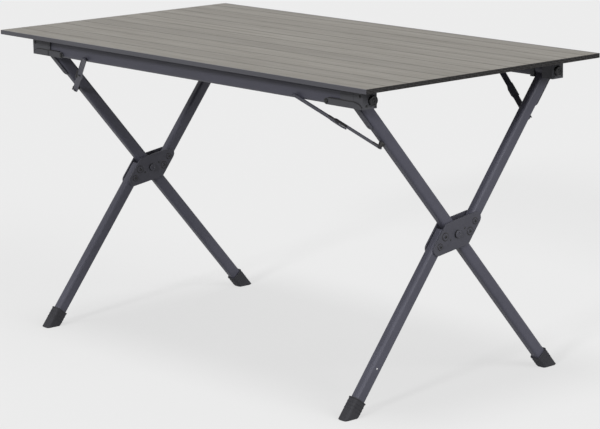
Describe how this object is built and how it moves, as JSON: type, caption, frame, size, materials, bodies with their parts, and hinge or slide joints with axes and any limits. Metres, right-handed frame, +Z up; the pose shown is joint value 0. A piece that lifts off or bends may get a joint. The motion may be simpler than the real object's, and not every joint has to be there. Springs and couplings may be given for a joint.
{
  "type": "folding camp table",
  "caption": "Rectangular folding camp table with a slatted roll-up top on two rails, scissor leg pairs, corner brackets, two-link folding stays and rubber feet.",
  "frame": {"origin": "on the floor, under the centre of the table top", "axes": "+X along the table, -Y its front long edge, +Z up"},
  "size_m": [1.3, 0.7, 0.724],
  "materials": {
    "edge": "satin",
    "slat": "satin textured",
    "frame": "satin powder coat",
    "pad": "matte",
    "bracket": "matte",
    "steel": "satin",
    "foot": "matte",
    "plate": "satin powder coat"
  },
  "bodies": {
    "root": {"front_rail": "frame", "front_rail_pad": "pad", "slat_01": "slat", "front_edge_trim": "edge", "fold_pin_front_left": "steel", "fold_pin_front_right": "steel"},
    "slat_02": {"slat_02": "slat"},
    "slat_03": {"slat_03": "slat"},
    "slat_04": {"slat_04": "slat"},
    "slat_05": {"slat_05": "slat"},
    "slat_06": {"slat_06": "slat"},
    "slat_07": {"slat_07": "slat"},
    "slat_08": {"slat_08": "slat"},
    "slat_09": {"slat_09": "slat"},
    "slat_10": {"slat_10": "slat"},
    "slat_11": {"slat_11": "slat"},
    "slat_12": {"slat_12": "slat", "back_edge_trim": "edge"},
    "bracket_front_right": {"corner_bracket_front_right": "bracket", "pivot_bolt_front_right": "steel"},
    "leg_straight_right": {"leg_straight_right": "frame", "foot_back_right": "foot", "leg_strap_front_right": "plate"},
    "leg_split_right": {"leg_upper_right": "frame", "leg_lower_right": "frame", "foot_front_right": "foot", "leg_strap_back_right": "plate", "hub_plate_inner_right": "plate", "hub_plate_outer_right": "plate", "hub_bolt_right": "steel"},
    "bracket_back_right": {"corner_bracket_back_right": "bracket", "pivot_bolt_back_right": "steel"},
    "bracket_front_left": {"corner_bracket_front_left": "bracket", "pivot_bolt_front_left": "steel"},
    "leg_straight_left": {"leg_straight_left": "frame", "foot_back_left": "foot", "leg_strap_front_left": "plate"},
    "leg_split_left": {"leg_upper_left": "frame", "leg_lower_left": "frame", "foot_front_left": "foot", "leg_strap_back_left": "plate", "hub_plate_inner_left": "plate", "hub_plate_outer_left": "plate", "hub_bolt_left": "steel"},
    "bracket_back_left": {"corner_bracket_back_left": "bracket", "pivot_bolt_back_left": "steel"},
    "back_rail": {"back_rail": "frame", "back_rail_pad": "pad", "fold_pin_back_left": "steel", "fold_pin_back_right": "steel"},
    "stay_leg_link_front_right": {"stay_leg_link_front_right": "frame"},
    "stay_rail_link_front_right": {"stay_rail_link_front_right": "frame"},
    "stay_leg_link_front_left": {"stay_leg_link_front_left": "frame"},
    "stay_rail_link_front_left": {"stay_rail_link_front_left": "frame"},
    "stay_leg_link_back_right": {"stay_leg_link_back_right": "frame"},
    "stay_rail_link_back_right": {"stay_rail_link_back_right": "frame"},
    "stay_leg_link_back_left": {"stay_leg_link_back_left": "frame"},
    "stay_rail_link_back_left": {"stay_rail_link_back_left": "frame"}
  },
  "joints": [
    {"name": "top_roll", "type": "hinge", "parent": "root", "child": "slat_02", "pos_m": [0, -0.2905, 0.724], "axis": [1, 0, 0], "range_deg": [0, 28]},
    {"name": "slat_03_roll", "type": "hinge", "parent": "slat_02", "child": "slat_03", "pos_m": [0, -0.231, 0.724], "axis": [1, 0, 0], "range_deg": [0, 28]},
    {"name": "slat_04_roll", "type": "hinge", "parent": "slat_03", "child": "slat_04", "pos_m": [0, -0.1715, 0.724], "axis": [1, 0, 0], "range_deg": [0, 28]},
    {"name": "slat_05_roll", "type": "hinge", "parent": "slat_04", "child": "slat_05", "pos_m": [0, -0.112, 0.724], "axis": [1, 0, 0], "range_deg": [0, 28]},
    {"name": "slat_06_roll", "type": "hinge", "parent": "slat_05", "child": "slat_06", "pos_m": [0, -0.0525, 0.724], "axis": [1, 0, 0], "range_deg": [0, 28]},
    {"name": "slat_07_roll", "type": "hinge", "parent": "slat_06", "child": "slat_07", "pos_m": [0, 0.007, 0.724], "axis": [1, 0, 0], "range_deg": [0, 28]},
    {"name": "slat_08_roll", "type": "hinge", "parent": "slat_07", "child": "slat_08", "pos_m": [0, 0.0665, 0.724], "axis": [1, 0, 0], "range_deg": [0, 28]},
    {"name": "slat_09_roll", "type": "hinge", "parent": "slat_08", "child": "slat_09", "pos_m": [0, 0.126, 0.724], "axis": [1, 0, 0], "range_deg": [0, 28]},
    {"name": "slat_10_roll", "type": "hinge", "parent": "slat_09", "child": "slat_10", "pos_m": [0, 0.1855, 0.724], "axis": [1, 0, 0], "range_deg": [0, 28]},
    {"name": "slat_11_roll", "type": "hinge", "parent": "slat_10", "child": "slat_11", "pos_m": [0, 0.245, 0.724], "axis": [1, 0, 0], "range_deg": [0, 28]},
    {"name": "slat_12_roll", "type": "hinge", "parent": "slat_11", "child": "slat_12", "pos_m": [0, 0.3045, 0.724], "axis": [1, 0, 0], "range_deg": [0, 28]},
    {"name": "legs_fold", "type": "hinge", "parent": "root", "child": "bracket_front_right", "pos_m": [0.473, 0, 0.675], "axis": [0, 1, 0], "range_deg": [0, 91]},
    {"name": "leg_straight_pivot_right", "type": "hinge", "parent": "bracket_front_right", "child": "leg_straight_right", "pos_m": [0.541, -0.2749, 0.686], "axis": [-1, 0, 0], "range_deg": [0, 37]},
    {"name": "hub_pivot_right", "type": "hinge", "parent": "leg_straight_right", "child": "leg_split_right", "pos_m": [0.541, 0.003, 0.356], "axis": [1, 0, 0], "range_deg": [0, 74]},
    {"name": "leg_upper_pivot_right", "type": "hinge", "parent": "leg_split_right", "child": "bracket_back_right", "pos_m": [0.541, 0.2809, 0.686], "axis": [-1, 0, 0], "range_deg": [0, 37]},
    {"name": "left_legs_fold", "type": "hinge", "parent": "root", "child": "bracket_front_left", "pos_m": [-0.473, 0, 0.675], "axis": [0, -1, 0], "range_deg": [0, 74]},
    {"name": "leg_straight_pivot_left", "type": "hinge", "parent": "bracket_front_left", "child": "leg_straight_left", "pos_m": [-0.541, -0.2749, 0.686], "axis": [-1, 0, 0], "range_deg": [0, 37]},
    {"name": "hub_pivot_left", "type": "hinge", "parent": "leg_straight_left", "child": "leg_split_left", "pos_m": [-0.541, 0.003, 0.356], "axis": [1, 0, 0], "range_deg": [0, 74]},
    {"name": "leg_upper_pivot_left", "type": "hinge", "parent": "leg_split_left", "child": "bracket_back_left", "pos_m": [-0.541, 0.2809, 0.686], "axis": [-1, 0, 0], "range_deg": [0, 37]},
    {"name": "back_rail_pivot", "type": "hinge", "parent": "bracket_back_right", "child": "back_rail", "pos_m": [0.473, 0, 0.675], "axis": [0, -1, 0], "range_deg": [0, 91]},
    {"name": "stay_leg_link_front_right_pivot", "type": "hinge", "parent": "leg_straight_right", "child": "stay_leg_link_front_right", "pos_m": [0.541, -0.21354, 0.57425], "axis": [-0.0001, -0.7649, -0.6441], "range_deg": [0, 118]},
    {"name": "stay_rail_link_front_right_pivot", "type": "hinge", "parent": "stay_leg_link_front_right", "child": "stay_rail_link_front_right", "pos_m": [0.4585, -0.25717, 0.62608], "axis": [-0.0001, -0.7649, -0.6441], "range_deg": [0, 160]},
    {"name": "stay_leg_link_front_left_pivot", "type": "hinge", "parent": "leg_straight_left", "child": "stay_leg_link_front_left", "pos_m": [-0.541, -0.21354, 0.57425], "axis": [-0.0001, 0.7649, 0.6441], "range_deg": [0, 118]},
    {"name": "stay_rail_link_front_left_pivot", "type": "hinge", "parent": "stay_leg_link_front_left", "child": "stay_rail_link_front_left", "pos_m": [-0.4585, -0.25717, 0.62608], "axis": [-0.0001, 0.7649, 0.6441], "range_deg": [0, 160]},
    {"name": "stay_leg_link_back_right_pivot", "type": "hinge", "parent": "leg_split_right", "child": "stay_leg_link_back_right", "pos_m": [0.541, 0.23603, 0.58159], "axis": [0.0324, -0.804, 0.5937], "range_deg": [0, 118]},
    {"name": "stay_rail_link_back_right_pivot", "type": "hinge", "parent": "stay_leg_link_back_right", "child": "stay_rail_link_back_right", "pos_m": [0.4585, 0.26971, 0.63172], "axis": [0.0324, -0.804, 0.5937], "range_deg": [0, 160]},
    {"name": "stay_leg_link_back_left_pivot", "type": "hinge", "parent": "leg_split_left", "child": "stay_leg_link_back_left", "pos_m": [-0.541, 0.23603, 0.58159], "axis": [0.0324, 0.804, -0.5937], "range_deg": [0, 118]},
    {"name": "stay_rail_link_back_left_pivot", "type": "hinge", "parent": "stay_leg_link_back_left", "child": "stay_rail_link_back_left", "pos_m": [-0.4585, 0.26971, 0.63172], "axis": [0.0324, 0.804, -0.5937], "range_deg": [0, 160]}
  ],
  "couplings": [
    {"joint": "slat_03_roll", "follows": "top_roll", "ratio": 1},
    {"joint": "slat_04_roll", "follows": "top_roll", "ratio": 1},
    {"joint": "slat_05_roll", "follows": "top_roll", "ratio": 1},
    {"joint": "slat_06_roll", "follows": "top_roll", "ratio": 1},
    {"joint": "slat_07_roll", "follows": "top_roll", "ratio": 1},
    {"joint": "slat_08_roll", "follows": "top_roll", "ratio": 1},
    {"joint": "slat_09_roll", "follows": "top_roll", "ratio": 1},
    {"joint": "slat_10_roll", "follows": "top_roll", "ratio": 1},
    {"joint": "slat_11_roll", "follows": "top_roll", "ratio": 1},
    {"joint": "slat_12_roll", "follows": "top_roll", "ratio": 1},
    {"joint": "leg_straight_pivot_right", "follows": "legs_fold", "ratio": 0.40659},
    {"joint": "hub_pivot_right", "follows": "legs_fold", "ratio": 0.81319},
    {"joint": "leg_upper_pivot_right", "follows": "legs_fold", "ratio": 0.40659},
    {"joint": "leg_straight_pivot_left", "follows": "legs_fold", "ratio": 0.40659},
    {"joint": "hub_pivot_left", "follows": "legs_fold", "ratio": 0.81319},
    {"joint": "leg_upper_pivot_left", "follows": "legs_fold", "ratio": 0.40659},
    {"joint": "back_rail_pivot", "follows": "legs_fold", "ratio": 1},
    {"joint": "stay_leg_link_front_right_pivot", "follows": "legs_fold", "ratio": 1.2967},
    {"joint": "stay_rail_link_front_right_pivot", "follows": "legs_fold", "ratio": 1.7582},
    {"joint": "stay_leg_link_front_left_pivot", "follows": "left_legs_fold", "ratio": 1.5946},
    {"joint": "stay_rail_link_front_left_pivot", "follows": "left_legs_fold", "ratio": 2.1622},
    {"joint": "stay_leg_link_back_right_pivot", "follows": "legs_fold", "ratio": 1.2967},
    {"joint": "stay_rail_link_back_right_pivot", "follows": "legs_fold", "ratio": 1.7582},
    {"joint": "stay_leg_link_back_left_pivot", "follows": "left_legs_fold", "ratio": 1.5946},
    {"joint": "stay_rail_link_back_left_pivot", "follows": "left_legs_fold", "ratio": 2.1622}
  ]
}
